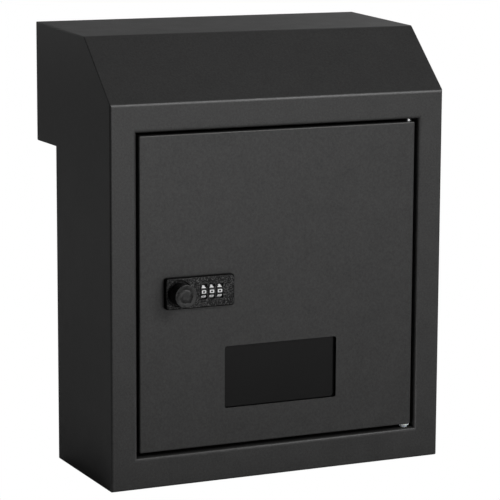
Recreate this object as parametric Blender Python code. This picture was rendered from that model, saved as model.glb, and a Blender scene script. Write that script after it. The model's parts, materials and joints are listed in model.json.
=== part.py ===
"""Through-the-wall parcel drop box: a folded steel body with a hood, a rear chute with a sprung flap,
a hinged door with a window, and a three-dial combination lock that turns a cam latch.

Run it with: blender --background --python part.py

Sizes are in millimetres and the meshes are written in metres. X runs along the width, Y from the
front face back towards the wall, and Z up. Heights are measured from the underside of the box. The
empty drop_box lowers everything, so that the origin is the centre of the mounting face.
"""

import math

import bmesh
import bpy
from mathutils import Matrix, Vector

MM = 0.001

# ---- Body, outer sizes ----
WIDTH = 305.0
HEIGHT = 375.0
BODY_DEPTH = 124.0  # front face to the mounting face at y = 0
CHUTE_DEPTH = 46.0  # how far the chute reaches back through the wall
FRONT_HEIGHT = 320.0  # top of the front face, where the hood slope starts
HOOD_RUN = 57.0  # depth of the hood slope
HOOD_FALL = 4.0  # the top falls this much from the rear to the hood slope, to shed rain
CHUTE_FLOOR = 272.5  # underside of the chute
SHEET = 1.2
BEND = 1.2  # inner radius of a folded edge
BEND_STEPS = 3
SEAM = 0.3  # gap between two sheets that are welded or that one cuts round another
REST = 0.1  # gap between two flat faces that rest on each other
FLOOR_FLANGE = 12.0  # height of the floor's folded edges
MOUNT_HEIGHT = 136.0  # centre of the mounting face above the underside

# ---- Front opening and door ----
OPENING_X = 129.3
OPENING_LOW = 27.2
OPENING_HIGH = 296.6
RETURN_DEPTH = 17.0  # how far the opening's folded edge goes back
DOOR_LEFT = -127.4
DOOR_RIGHT = 126.3
DOOR_LOW = 30.5
DOOR_HIGH = 294.4
DOOR_RECESS = 0.5
DOOR_DEPTH = 12.0
HINGE_INSET = 4.2  # hinge axis from the door's right edge
HINGE_SETBACK = 5.0  # hinge axis behind the door's face
PIN_RADIUS = 2.0
PIN_HEAD = 3.0
RUNNING = 0.3  # radial gap between a pin and its hole
WASHER_RADIUS = 3.0
WASHER_THICK = 0.8
BUSH_RADIUS = 4.8  # tapered bush that carries the door's weight
STOP_HEIGHTS = (70.0, 255.0)

# ---- Window ----
WINDOW_CENTRE = (1.3, 88.0)
WINDOW_SIZE = (104.0, 53.0)
WINDOW_CORNER = 2.0
PANE_MARGIN = 8.0
PANE_THICK = 2.0
SPACER_MARGIN = 3.0  # foam spacer set back from the window's edge
SPACER_THICK = 1.8
RETAINER_MARGIN = 14.5
RETAINER_THICK = 1.0
STUD_MARGIN = 10.5
STUD_RADIUS = 1.5
STUD_LENGTH = 9.0
NUT_FLATS = 5.5
NUT_THICK = 2.4

# ---- Combination lock ----
LOCK_X = -74.9
LOCK_Z = 163.2
PLATE_SIZE = (62.0, 26.5)
PLATE_CORNER = 2.5
PLATE_THICK = 4.0
PLATE_WALL = 1.5  # wall left in front of the dial chamber
RECESS_RADIUS = 10.7  # round recess under the knob
RECESS_DEPTH = 1.3
GASKET_THICK = 0.5
KNOB_X = -93.7
KNOB_RADIUS = 9.6
KNOB_LENGTH = 14.5
BARREL_RADIUS = 8.5
SPINDLE_RADIUS = 5.0
SPINDLE_STUB = 3.5  # radius of the spindle's end inside the knob
STUB_LENGTH = 6.0
BARREL_NUT_FLATS = 22.0
BARREL_NUT_THICK = 4.0
DIAL_RADIUS = 7.3
DIAL_WIDTH = 5.2
DIAL_PITCH = 7.2
DIAL_PROUD = 0.8  # how far a dial stands out of the plate
MIDDLE_DIAL_X = -64.9
AXLE_RADIUS = 1.5
SLOT_SIZE = (5.9, 12.4)
CHAMBER_WALL = 1.5
CHAMBER_HALF_HEIGHT = 8.0
BLOCK_HALF_HEIGHT = 12.0
CHAMBER_END = 11.0  # open end of the dial chamber behind the door's face
COVER_THICK = 1.5
CAM_LENGTH = 46.0
CAM_WIDTH = 15.0
CAM_HUB = 9.0
CAM_THICK = 2.5
CAM_SQUARE = 7.0
CAM_GAP = 1.0  # cam behind the frame's folded edge
RESET_RADIUS = 1.8
RESET_RISE = 5.6  # reset button above the dial axle

# ---- Rear slot, flap and ramp ----
SLOT_X = 128.0
SLOT_LOW = 290.0
SLOT_HIGH = 350.0
SLOT_RETURN = 8.0
FLAP_X = 134.0
FLAP_LOW = 284.0
ROD_HEIGHT = 361.0
ROD_RADIUS = 2.0
ROD_END = 143.0
CURL_GAP = 0.4
CURL_GAP_X = (60.0, 90.0)  # where the curl is cut away between its knuckles
EAR_X = 138.0
EAR_THICK = 1.5
CLIP_RADIUS = 4.0
SPRING_X = (-22.0, -8.0)
SPRING_TURNS = 5
WIRE_RADIUS = 0.5
RAMP_TOP = 270.0
RAMP_FRONT = -62.0
RAMP_LOW = 234.0
MOUNT_HOLE_X = 110.0
MOUNT_HOLE_Z = (40.0, 232.0)
MOUNT_HOLE_RADIUS = 3.5

# ---- Places worked out from the sizes above ----
HALF = WIDTH / 2
FRONT = -BODY_DEPTH
REAR = CHUTE_DEPTH
HOOD_BEND = HEIGHT - HOOD_FALL
DOOR_FACE = FRONT + DOOR_RECESS
HINGE_X = DOOR_RIGHT - HINGE_INSET
HINGE_Y = DOOR_FACE + HINGE_SETBACK
PLATE_BACK = DOOR_FACE - GASKET_THICK - 2 * REST
PLATE_FACE = PLATE_BACK - PLATE_THICK
DIAL_Y = PLATE_FACE - DIAL_PROUD + DIAL_RADIUS
DIAL_XS = [MIDDLE_DIAL_X + step * DIAL_PITCH for step in (-1, 0, 1)]
CHAMBER_X = (DIAL_XS[0] - DIAL_PITCH / 2 - 0.4, DIAL_XS[2] + DIAL_PITCH / 2 + 0.4)
CHAMBER_BACK = DOOR_FACE + CHAMBER_END
CAM_Y = FRONT + RETURN_DEPTH + CAM_GAP
FLAP_BACK = REAR - SLOT_RETURN - SEAM
ROD_Y = FLAP_BACK - SHEET - CURL_GAP - ROD_RADIUS


# ---- Materials ----
def material(name, colour, roughness, metallic):
    made = bpy.data.materials.new(name)
    made.use_nodes = True
    shader = made.node_tree.nodes["Principled BSDF"]
    shader.inputs["Base Color"].default_value = (*colour, 1.0)
    shader.inputs["Roughness"].default_value = roughness
    shader.inputs["Metallic"].default_value = metallic
    return made


for leftover in list(bpy.data.objects):
    bpy.data.objects.remove(leftover)

BLACK_COAT = material("black_powder_coat", (0.035, 0.035, 0.036), 0.55, 0.0)
LOCK_BLACK = material("black_lock_casting", (0.02, 0.02, 0.021), 0.45, 0.0)
DIAL_BLACK = material("dial_plastic", (0.012, 0.012, 0.012), 0.35, 0.0)
ZINC = material("zinc_plated_steel", (0.62, 0.63, 0.64), 0.35, 1.0)
SMOKED = material("smoked_acrylic", (0.012, 0.012, 0.013), 0.1, 0.0)
NYLON = material("white_nylon", (0.85, 0.85, 0.83), 0.5, 0.0)
RUBBER = material("black_rubber", (0.02, 0.02, 0.02), 0.8, 0.0)


# ---- Placing: each empty carries the pieces that move together ----
ORIGINS = {}


def pivot(name, place, parent=None):
    """An empty at a place given in box millimetres, so that its children turn or slide about it."""
    empty = bpy.data.objects.new(name, None)
    bpy.context.scene.collection.objects.link(empty)
    ORIGINS[empty] = Vector(place)
    if parent is None:
        empty.location = (Vector(place) - Vector((0, 0, MOUNT_HEIGHT))) * MM
    else:
        empty.parent = parent
        empty.location = (Vector(place) - ORIGINS[parent]) * MM
    return empty


def add(name, bm, look, parent, smooth=False, shown=True):
    """Makes an object from a mesh in box millimetres, with its origin on its parent's."""
    bm.normal_update()
    bmesh.ops.recalc_face_normals(bm, faces=bm.faces)
    bm.transform(Matrix.Scale(MM, 4) @ Matrix.Translation(-ORIGINS[parent]))
    mesh = bpy.data.meshes.new(name)
    bm.to_mesh(mesh)
    bm.free()
    made = bpy.data.objects.new(name, mesh)
    bpy.context.scene.collection.objects.link(made)
    made.parent = parent
    if shown:
        mesh.materials.append(look)
    else:
        made.hide_render = True
        made.display_type = "WIRE"
    if smooth:
        mesh.shade_smooth()
        mesh.set_sharp_from_angle(angle=math.radians(35))
    return made


def boolean(target, cutter, operation="DIFFERENCE"):
    modifier = target.modifiers.new(cutter.name, "BOOLEAN")
    modifier.operation = operation
    modifier.solver = "EXACT"
    modifier.object = cutter


def cut(target, bm, name):
    """Cuts a mesh out of the target, through a hidden cutter."""
    boolean(target, add(name, bm, None, target.parent, shown=False))


def join(target, bm, name):
    """Joins a mesh to the target, through a hidden helper."""
    boolean(target, add(name, bm, None, target.parent, shown=False), "UNION")


# ---- Shapes ----
def loft(loops, closed=False):
    """A solid through equally long loops of points: capped at both ends, or closed back on itself."""
    bm = bmesh.new()
    rings = [[bm.verts.new(point) for point in loop] for loop in loops]
    pairs = list(zip(rings, rings[1:]))
    if closed:
        pairs.append((rings[-1], rings[0]))
    else:
        bm.faces.new(rings[0])
        bm.faces.new(rings[-1])
    count = len(rings[0])
    for first, second in pairs:
        for i in range(count):
            j = (i + 1) % count
            bm.faces.new((first[i], first[j], second[j], second[i]))
    return bm


def box(x, y, z):
    """A box from three (low, high) pairs."""
    base = [(x[0], y[0]), (x[1], y[0]), (x[1], y[1]), (x[0], y[1])]
    return loft([[(u, v, height) for u, v in base] for height in z])


def rounded(u, v, radius, steps=4):
    """Points round a rectangle between two (low, high) pairs, with round corners."""
    if radius <= 0:
        return [(u[0], v[0]), (u[1], v[0]), (u[1], v[1]), (u[0], v[1])]
    points = []
    centres = ((u[1], v[1], 0), (u[0], v[1], 90), (u[0], v[0], 180), (u[1], v[0], 270))
    middle_u, middle_v = (u[0] + u[1]) / 2, (v[0] + v[1]) / 2
    for corner_u, corner_v, start in centres:
        centre_u = corner_u + math.copysign(radius, middle_u - corner_u)
        centre_v = corner_v + math.copysign(radius, middle_v - corner_v)
        for step in range(steps + 1):
            angle = math.radians(start + 90 * step / steps)
            points.append((centre_u + radius * math.cos(angle), centre_v + radius * math.sin(angle)))
    return points


def circle(centre, radius, segments=24):
    turns = [2 * math.pi * i / segments for i in range(segments)]
    return [(centre[0] + radius * math.cos(a), centre[1] + radius * math.sin(a)) for a in turns]


def around(centre, size):
    """The (low, high) pairs of a rectangle from its centre and size."""
    return tuple((c - s / 2, c + s / 2) for c, s in zip(centre, size))


TO_SPACE = {
    "X": lambda u, v, along: (along, u, v),
    "Y": lambda u, v, along: (u, along, v),
    "Z": lambda u, v, along: (u, v, along),
}


def plate(outline, span, axis, holes=()):
    """A flat plate: an outline with holes, extruded over a span along an axis."""
    bm = bmesh.new()
    edges = []
    for points in (outline, *holes):
        ring = [bm.verts.new(TO_SPACE[axis](u, v, span[0])) for u, v in points]
        edges += [bm.edges.new((ring[i - 1], ring[i])) for i in range(len(ring))]
    filled = bmesh.ops.triangle_fill(bm, use_beauty=True, use_dissolve=True, edges=edges)
    faces = [g for g in filled["geom"] if isinstance(g, bmesh.types.BMFace)]
    grown = bmesh.ops.extrude_face_region(bm, geom=faces)
    moved = [g for g in grown["geom"] if isinstance(g, bmesh.types.BMVert)]
    bmesh.ops.translate(bm, verts=moved, vec=TO_SPACE[axis](0, 0, span[1] - span[0]))
    return bm


def turned(profile, axis, centre, segments=24):
    """A round solid from (radius, place along the axis) points. One that starts off the axis is a ring."""
    bm = bmesh.new()
    rings = []
    for radius, along in profile:
        if radius <= 0:
            rings.append([bm.verts.new(TO_SPACE[axis](*centre, along))])
        else:
            points = circle(centre, radius, segments)
            rings.append([bm.verts.new(TO_SPACE[axis](u, v, along)) for u, v in points])
    pairs = list(zip(rings, rings[1:]))
    if profile[0][0] > 0:
        pairs.append((rings[-1], rings[0]))
    for first, second in pairs:
        for i in range(segments):
            j = (i + 1) % segments
            if len(first) == 1:
                bm.faces.new((first[0], second[j], second[i]))
            elif len(second) == 1:
                bm.faces.new((first[i], first[j], second[0]))
            else:
                bm.faces.new((first[i], first[j], second[j], second[i]))
    return bm


def rod(axis, centre, radius, span, segments=24):
    """A plain round bar."""
    profile = [(0, span[0]), (radius, span[0]), (radius, span[1]), (0, span[1])]
    return turned(profile, axis, centre, segments)


def washer(axis, centre, outer, inner, span, segments=24):
    profile = [(inner, span[0]), (outer, span[0]), (outer, span[1]), (inner, span[1])]
    return turned(profile, axis, centre, segments)


def folded(path, side):
    """Outline of a folded sheet: its outer line with a fold at each inner point, and SHEET of thickness
    on one side, 1 for the left of the path's direction and -1 for the right."""
    line = []
    points = [Vector(p) for p in path]
    for i, point in enumerate(points):
        if i in (0, len(points) - 1):
            other = points[1] - point if i == 0 else point - points[-2]
            line.append((point, Vector((-other.y, other.x)).normalized() * side))
            continue
        before, after = (point - points[i - 1]).normalized(), (points[i + 1] - point).normalized()
        turn = math.atan2(before.cross(after), before.dot(after))
        radius = BEND + SHEET if turn * side > 0 else BEND
        start = point - before * radius * math.tan(abs(turn) / 2)
        inward = Vector((-before.y, before.x)) * math.copysign(1, turn)
        centre = start + inward * radius
        for step in range(BEND_STEPS + 1):
            spoke = Matrix.Rotation(turn * step / BEND_STEPS, 2) @ (-inward)
            to_sheet = spoke * (-1 if turn * side > 0 else 1)
            line.append((centre + spoke * radius, to_sheet))
    outer = [tuple(p) for p, _ in line]
    inner = [tuple(p + normal * SHEET) for p, normal in reversed(line)]
    return outer + inner


def edged_opening(outer, opening, face, back, flange_end, inward):
    """A sheet with a rectangular opening whose edge is folded back. outer and opening are rectangles as
    (x pair, z pair); face, back and flange_end are places along Y, and inward is +1 if back is behind."""
    (ox, oz), (hx, hz) = outer, opening
    loops = [[(u, face, v) for u, v in rounded(ox, oz, 0)]]
    fold = BEND + SHEET
    for radius, sheet_side in ((fold, 0), (BEND, SHEET)):
        arc = []
        for step in range(BEND_STEPS + 1):
            angle = math.radians(90 * step / BEND_STEPS)
            grow = fold - radius * math.sin(angle)
            place = face + inward * (fold - radius * math.cos(angle))
            rectangle = rounded((hx[0] - grow, hx[1] + grow), (hz[0] - grow, hz[1] + grow), 0)
            arc.append([(u, place, v) for u, v in rectangle])
        end_grow = sheet_side
        rectangle = rounded((hx[0] - end_grow, hx[1] + end_grow), (hz[0] - end_grow, hz[1] + end_grow), 0)
        arc.append([(u, flange_end, v) for u, v in rectangle])
        loops += arc if sheet_side == 0 else arc[::-1]
    loops.append([(u, back, v) for u, v in rounded(ox, oz, 0)])
    return loft(loops, closed=True)


def pan(u, v, face, rim, axis):
    """A shallow tray: an outer face, folded sides up to the rim, and the sheet's inside."""
    fold = BEND + SHEET
    toward = math.copysign(1, rim - face)
    loops = []
    for radius, inset in ((fold, 0), (BEND, SHEET)):
        part = []
        for step in range(BEND_STEPS + 1):
            angle = math.radians(90 * step / BEND_STEPS)
            shrink = fold - radius * math.sin(angle)
            place = face + toward * (fold - radius * math.cos(angle))
            part.append((shrink, place))
        part.append((inset, rim))
        loops += part if inset == 0 else part[::-1]
    rings = []
    for shrink, place in loops:
        rectangle = rounded((u[0] + shrink, u[1] - shrink), (v[0] + shrink, v[1] - shrink), 0)
        rings.append([TO_SPACE[axis](a, b, place) for a, b in rectangle])
    return loft(rings)


def hexagon(centre, flats):
    radius = flats / math.sqrt(3)
    return circle(centre, radius, 6)


# ---- Frames of movement ----
BOX = pivot("drop_box", (0, 0, 0))
DOOR = pivot("door_hinge_axis", (HINGE_X, HINGE_Y, DOOR_LOW), BOX)
LATCH = pivot("knob_axis", (KNOB_X, CAM_Y, LOCK_Z), DOOR)
FLAP = pivot("flap_rod_axis", (0, ROD_Y, ROD_HEIGHT), BOX)
DIALS = [pivot(f"dial_{i + 1}_axis", (x, DIAL_Y, LOCK_Z), DOOR) for i, x in enumerate(DIAL_XS)]
RESET = pivot("reset_axis", (MIDDLE_DIAL_X, CHAMBER_BACK, LOCK_Z + RESET_RISE), DOOR)


# ---- Body shell ----
def slope_normal():
    """Unit vector from the hood slope into the box, in the Y-Z plane."""
    slope = Vector((HOOD_RUN, HOOD_BEND - FRONT_HEIGHT)).normalized()
    return Vector((slope.y, -slope.x))


def build_front_frame():
    top = FRONT_HEIGHT + slope_normal().y * SHEET - SEAM
    outer = ((-HALF, HALF), (0.0, top))
    opening = ((-OPENING_X, OPENING_X), (OPENING_LOW, OPENING_HIGH))
    frame = add(
        "front_frame",
        edged_opening(outer, opening, FRONT, FRONT + SHEET, FRONT + RETURN_DEPTH, 1),
        BLACK_COAT,
        BOX,
    )
    for label, height in (("upper", OPENING_HIGH), ("lower", OPENING_LOW)):
        hole = rod("Z", (HINGE_X, HINGE_Y), PIN_RADIUS + RUNNING, (height - 3, height + 3))
        cut(frame, hole, f"{label}_pin_hole_in_frame")


def build_hood():
    path = [(FRONT, FRONT_HEIGHT), (FRONT + HOOD_RUN, HOOD_BEND), (REAR, HEIGHT)]
    add("hood_cover", plate(folded(path, -1), (-HALF, HALF), "X"), BLACK_COAT, BOX)


def side_outline():
    """The L-shaped side, from the front bottom corner anticlockwise seen from +X: Y then Z."""
    inset = SHEET + SEAM
    front = FRONT + inset
    hood = [Vector((FRONT, FRONT_HEIGHT)), Vector((FRONT + HOOD_RUN, HOOD_BEND)), Vector((REAR, HEIGHT))]
    slope, top = [(b - a).normalized() for a, b in zip(hood, hood[1:])]
    slope_start = hood[0] + Vector((slope.y, -slope.x)) * inset
    top_start = hood[1] + Vector((top.y, -top.x)) * inset
    share = (top_start - slope_start).cross(top) / slope.cross(top)
    bend = slope_start + slope * share
    rear = top_start.y + (REAR - top_start.x) * top.y / top.x
    corners = [
        (front, 0.0, 0.0),
        (0.0, 0.0, 2.5),
        (0.0, CHUTE_FLOOR, 0.0),
        (REAR, CHUTE_FLOOR, 3.0),
        (REAR, rear, 0.0),
        (bend.x, bend.y, 0.0),
        (front, slope_start.y + (front - slope_start.x) * slope.y / slope.x, 0.0),
    ]
    outline = []
    for y, z, radius in corners:
        if not radius:
            outline.append((y, z))
            continue
        for step in range(5):
            angle = math.radians(-90 + 90 * step / 4)
            outline.append((y - radius + radius * math.cos(angle), z + radius + radius * math.sin(angle)))
    return outline


def build_sides():
    for name, span in (
        ("left_side_panel", (-HALF, -HALF + SHEET)),
        ("right_side_panel", (HALF - SHEET, HALF)),
    ):
        add(name, plate(side_outline(), span, "X"), BLACK_COAT, BOX)


def build_bottom():
    inside = HALF - SHEET - SEAM
    u = (-inside, inside)
    v = (FRONT + SHEET + SEAM, -SHEET - SEAM)
    add("bottom_panel", pan(u, v, 0.0, FLOOR_FLANGE, "Z"), BLACK_COAT, BOX)


def build_back():
    """Mounting plate and chute floor in one folded sheet. The sheet lies in front of y = 0 and above the
    chute's underside."""
    inside = HALF - SHEET - SEAM
    rear = REAR - SHEET - SEAM
    path = [(0.0, 0.0), (0.0, CHUTE_FLOOR), (rear, CHUTE_FLOOR)]
    back = add("back_panel", plate(folded(path, 1), (-inside, inside), "X"), BLACK_COAT, BOX)
    for x in (-MOUNT_HOLE_X, MOUNT_HOLE_X):
        for z in MOUNT_HOLE_Z:
            hole = rod("Y", (x, z), MOUNT_HOLE_RADIUS, (-5, 5))
            cut(back, hole, f"mount_hole_{x:.0f}_{z:.0f}")


def build_rear_frame():
    inside = HALF - SHEET - SEAM
    outer = ((-inside, inside), (CHUTE_FLOOR + SEAM, HEIGHT - SHEET - SEAM))
    opening = ((-SLOT_X, SLOT_X), (SLOT_LOW, SLOT_HIGH))
    add(
        "rear_slot_frame",
        edged_opening(outer, opening, REAR, REAR - SHEET, REAR - SLOT_RETURN, -1),
        BLACK_COAT,
        BOX,
    )


def build_ramp():
    inside = HALF - SHEET - 2 * SEAM
    rear = -SHEET - REST
    path = [(rear, RAMP_TOP - 18), (rear, RAMP_TOP), (RAMP_FRONT, RAMP_LOW), (RAMP_FRONT, RAMP_LOW - 10)]
    add("mail_ramp", plate(folded(path, 1), (-inside, inside), "X"), BLACK_COAT, BOX)


def build_stops():
    """Two small angle tabs on the opening's left folded edge, which stop the door when it closes."""
    base = -OPENING_X + REST
    seat = DOOR_FACE + DOOR_DEPTH + SEAM
    end = FRONT + RETURN_DEPTH
    outline = [
        (base, seat),
        (base + 10, seat),
        (base + 10, seat + SHEET),
        (base + SHEET, seat + SHEET),
        (base + SHEET, end),
        (base, end),
    ]
    for label, height in zip(("lower", "upper"), STOP_HEIGHTS):
        add(f"door_stop_{label}", plate(outline, (height, height + 18), "Z"), BLACK_COAT, BOX)


# ---- Hinge ----
def build_hinge():
    centre = (HINGE_X, HINGE_Y)
    frame_top = OPENING_HIGH + SHEET
    frame_low = OPENING_LOW - SHEET
    add(
        "hinge_pin_upper",
        turned(
            [
                (0, DOOR_HIGH - 6),
                (PIN_RADIUS - 0.5, DOOR_HIGH - 6),
                (PIN_RADIUS, DOOR_HIGH - 5.5),
                (PIN_RADIUS, frame_top + REST),
                (PIN_HEAD, frame_top + REST),
                (PIN_HEAD - 0.6, frame_top + 1.7),
                (0, frame_top + 1.9),
            ],
            "Z",
            centre,
        ),
        ZINC,
        BOX,
        smooth=True,
    )
    add(
        "hinge_pin_lower",
        turned(
            [
                (0, frame_low - 1.9),
                (PIN_HEAD - 0.6, frame_low - 1.7),
                (PIN_HEAD, frame_low - REST),
                (PIN_RADIUS, frame_low - REST),
                (PIN_RADIUS, DOOR_LOW + 4.5),
                (PIN_RADIUS - 0.5, DOOR_LOW + 5),
                (0, DOOR_LOW + 5),
            ],
            "Z",
            centre,
        ),
        ZINC,
        BOX,
        smooth=True,
    )
    inner = PIN_RADIUS + RUNNING
    top = (DOOR_HIGH + SEAM, DOOR_HIGH + SEAM + WASHER_THICK)
    add("hinge_washer_upper", washer("Z", centre, WASHER_RADIUS, inner, top), ZINC, BOX, smooth=True)
    seat, low = DOOR_LOW - SEAM, OPENING_LOW + REST
    profile = [
        (inner, low),
        (inner + 0.4, low),
        (BUSH_RADIUS, seat - 0.4),
        (BUSH_RADIUS, seat),
        (inner, seat),
    ]
    add("hinge_bush_lower", turned(profile, "Z", centre, 28), NYLON, BOX, smooth=True)


# ---- Door ----
def build_door():
    tray = pan((DOOR_LEFT, DOOR_RIGHT), (DOOR_LOW, DOOR_HIGH), DOOR_FACE, DOOR_FACE + DOOR_DEPTH, "Y")
    door = add("door_panel", tray, BLACK_COAT, DOOR)
    through = (DOOR_FACE - 3, DOOR_FACE + 5)
    window = rounded(*around(WINDOW_CENTRE, WINDOW_SIZE), WINDOW_CORNER)
    cut(door, plate(window, through, "Y"), "window_cut")
    cut(door, rod("Y", (KNOB_X, LOCK_Z), BARREL_RADIUS + RUNNING, through), "barrel_cut")
    block_x = (CHAMBER_X[0] - CHAMBER_WALL - SEAM, CHAMBER_X[1] + CHAMBER_WALL + SEAM)
    block_z = (LOCK_Z - BLOCK_HALF_HEIGHT - SEAM, LOCK_Z + BLOCK_HALF_HEIGHT + SEAM)
    cut(door, box(block_x, through, block_z), "dial_block_cut")
    for label, height in (("upper", DOOR_HIGH), ("lower", DOOR_LOW)):
        hole = rod("Z", (HINGE_X, HINGE_Y), PIN_RADIUS + RUNNING, (height - 4, height + 4))
        cut(door, hole, f"{label}_pin_hole_in_door")


def build_window():
    behind = DOOR_FACE + SHEET + REST
    size = Vector(WINDOW_SIZE)
    pane = rounded(*around(WINDOW_CENTRE, size + 2 * Vector((PANE_MARGIN, PANE_MARGIN))), 2.0)
    spacer_hole = rounded(*around(WINDOW_CENTRE, size + 2 * Vector((SPACER_MARGIN, SPACER_MARGIN))), 2.0)
    spacer_end = behind + SPACER_THICK
    add("window_spacer", plate(pane, (behind, spacer_end), "Y", [spacer_hole]), RUBBER, DOOR)
    pane_end = spacer_end + REST + PANE_THICK
    add("window_pane", plate(pane, (spacer_end + REST, pane_end), "Y"), SMOKED, DOOR)

    studs = []
    for label, u, v in (("1", -1, -1), ("2", 1, -1), ("3", 1, 1), ("4", -1, 1)):
        x = WINDOW_CENTRE[0] + u * (WINDOW_SIZE[0] / 2 + STUD_MARGIN)
        z = WINDOW_CENTRE[1] + v * (WINDOW_SIZE[1] / 2 + STUD_MARGIN)
        studs.append((label, (x, z)))
    outer = rounded(*around(WINDOW_CENTRE, size + 2 * Vector((RETAINER_MARGIN, RETAINER_MARGIN))), 3.0)
    inner = rounded(*around(WINDOW_CENTRE, size + Vector((4, 4))), 2.0)
    holes = [circle(place, STUD_RADIUS + RUNNING, 16) for _, place in studs]
    sheet = (pane_end + REST, pane_end + REST + RETAINER_THICK)
    add("window_retainer", plate(outer, sheet, "Y", [inner, *holes]), BLACK_COAT, DOOR)

    for label, place in studs:
        weld = behind + 0.5
        profile = [
            (0, behind),
            (2.4, behind),
            (2.4, weld),
            (STUD_RADIUS, weld + 0.3),
            (STUD_RADIUS, behind + STUD_LENGTH),
            (0, behind + STUD_LENGTH),
        ]
        add(f"window_stud_{label}", turned(profile, "Y", place, 16), ZINC, DOOR, smooth=True)
        seat = sheet[1] + REST
        bore = [circle(place, STUD_RADIUS + RUNNING, 16)]
        nut = plate(hexagon(place, NUT_FLATS), (seat, seat + NUT_THICK), "Y", bore)
        add(f"window_nut_{label}", nut, ZINC, DOOR)


# ---- Lock ----
def plate_outline(inset=0.0):
    size = Vector(PLATE_SIZE) - 2 * Vector((inset, inset))
    return rounded(*around((LOCK_X, LOCK_Z), size), PLATE_CORNER - inset / 2)


def build_housing():
    """Front plate, threaded barrel and dial block in one casting, open at the back of the dial chamber."""
    bevel = 0.9
    loops = [
        [(u, PLATE_FACE, v) for u, v in plate_outline(bevel)],
        [(u, PLATE_FACE + bevel, v) for u, v in plate_outline()],
        [(u, PLATE_BACK, v) for u, v in plate_outline()],
    ]
    housing = add("lock_housing", loft(loops), LOCK_BLACK, DOOR)
    barrel_end = CAM_Y - REST
    inside = PLATE_BACK - 1.0
    join(housing, rod("Y", (KNOB_X, LOCK_Z), BARREL_RADIUS, (inside, barrel_end), 32), "barrel")
    block_x = (CHAMBER_X[0] - CHAMBER_WALL, CHAMBER_X[1] + CHAMBER_WALL)
    block_z = (LOCK_Z - BLOCK_HALF_HEIGHT, LOCK_Z + BLOCK_HALF_HEIGHT)
    join(housing, box(block_x, (inside, CHAMBER_BACK), block_z), "dial_block")

    open_end = CHAMBER_BACK + 2
    chamber_z = (LOCK_Z - CHAMBER_HALF_HEIGHT, LOCK_Z + CHAMBER_HALF_HEIGHT)
    cut(housing, box(CHAMBER_X, (PLATE_FACE + PLATE_WALL, open_end), chamber_z), "dial_chamber")
    notch = AXLE_RADIUS + RUNNING
    notch_x = (CHAMBER_X[0] - 1.0, CHAMBER_X[1] + 1.0)
    notch_z = (LOCK_Z - notch, LOCK_Z + notch)
    cut(housing, box(notch_x, (DIAL_Y - notch, open_end), notch_z), "axle_notch")
    recess = rod("Y", (KNOB_X, LOCK_Z), RECESS_RADIUS, (PLATE_FACE - 2, PLATE_FACE + RECESS_DEPTH), 32)
    cut(housing, recess, "knob_recess")
    bore = rod("Y", (KNOB_X, LOCK_Z), SPINDLE_RADIUS + RUNNING, (PLATE_FACE - 2, barrel_end + 2))
    cut(housing, bore, "spindle_bore")
    for i, x in enumerate(DIAL_XS):
        slot_x, slot_z = around((x, LOCK_Z), SLOT_SIZE)
        slot_y = (PLATE_FACE - 2, PLATE_FACE + PLATE_WALL + 1)
        cut(housing, box(slot_x, slot_y, slot_z), f"dial_slot_{i + 1}")
    for label, side in (("upper", 1), ("lower", -1)):
        place = (MIDDLE_DIAL_X, LOCK_Z + side * 10)
        cut(housing, rod("Y", place, 1.2, (CHAMBER_BACK - 7, open_end), 12), f"cover_screw_hole_{label}")


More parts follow.
